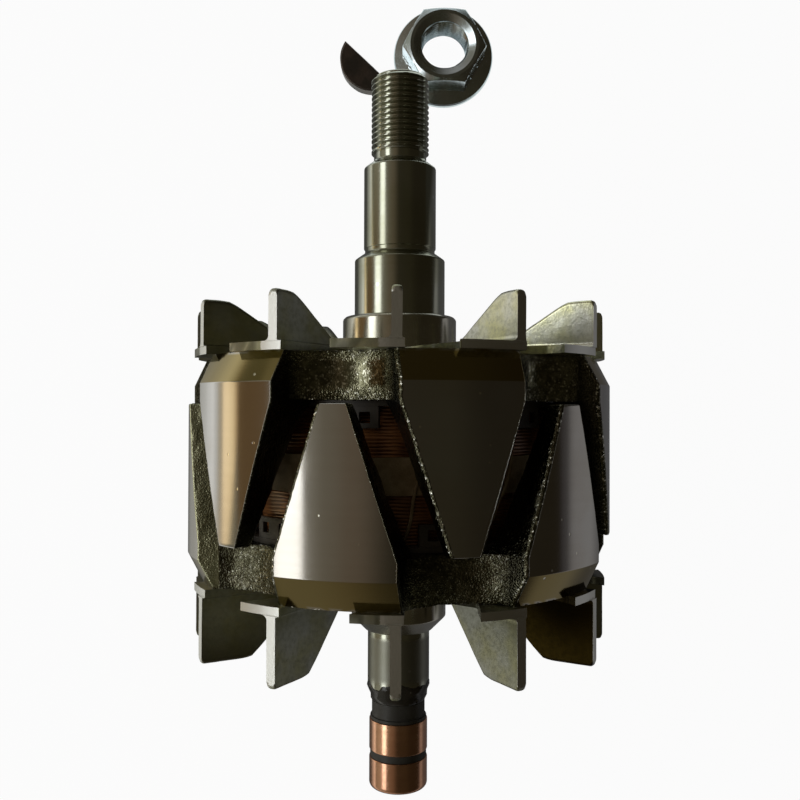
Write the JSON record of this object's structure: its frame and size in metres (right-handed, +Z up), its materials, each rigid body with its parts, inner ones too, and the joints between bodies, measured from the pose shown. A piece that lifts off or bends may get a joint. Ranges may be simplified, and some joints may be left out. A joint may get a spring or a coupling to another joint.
{
  "type": "alternator rotor",
  "caption": "Claw-pole alternator rotor: two interleaved forged poles round a field coil, a bladed fan at each end, a stepped threaded shaft and copper slip rings.",
  "frame": {"origin": "on the shaft axis, at the shoulder that the drive-end bearing seats against", "axes": "+Y along the shaft towards its threaded drive end, +Z up as the rotor lies on its poles"},
  "size_m": [0.114, 0.2406, 0.114],
  "materials": {
    "shaft_steel": "turned and ground, oiled",
    "fan_sheet": "zinc plate with yellow passivation",
    "forged_steel": "turned outside, rough forged sides",
    "black_moulding": "moulded",
    "grey_insulation": "matt",
    "enamelled_wire": "varnished copper wire",
    "binding_tape": "varnished tape",
    "collar_steel": "turned, dark",
    "lead_sleeving": "varnished sleeving",
    "resin": "cured resin",
    "copper": "turned copper",
    "zinc_plate": "bright zinc plate",
    "black_steel": "blackened"
  },
  "bodies": {
    "root": {"shaft": "shaft_steel", "drive_end_collar": "shaft_steel", "drive_end_fan": "fan_sheet", "slip_ring_end_fan": "fan_sheet", "drive_end_claw_pole": "forged_steel", "slip_ring_end_claw_pole": "forged_steel", "pole_core": "forged_steel", "coil_bobbin": "black_moulding", "drive_end_insulator": "grey_insulation", "slip_ring_end_insulator": "grey_insulation", "field_coil": "enamelled_wire", "coil_binding": "binding_tape", "slip_ring_end_collar": "collar_steel", "start_lead": "lead_sleeving", "finish_lead": "lead_sleeving", "resin_bead": "resin", "slip_ring_sleeve": "black_moulding", "inner_slip_ring": "copper", "outer_slip_ring": "copper", "pulley_nut": "zinc_plate", "pulley_key": "black_steel"}
  },
  "joints": []
}
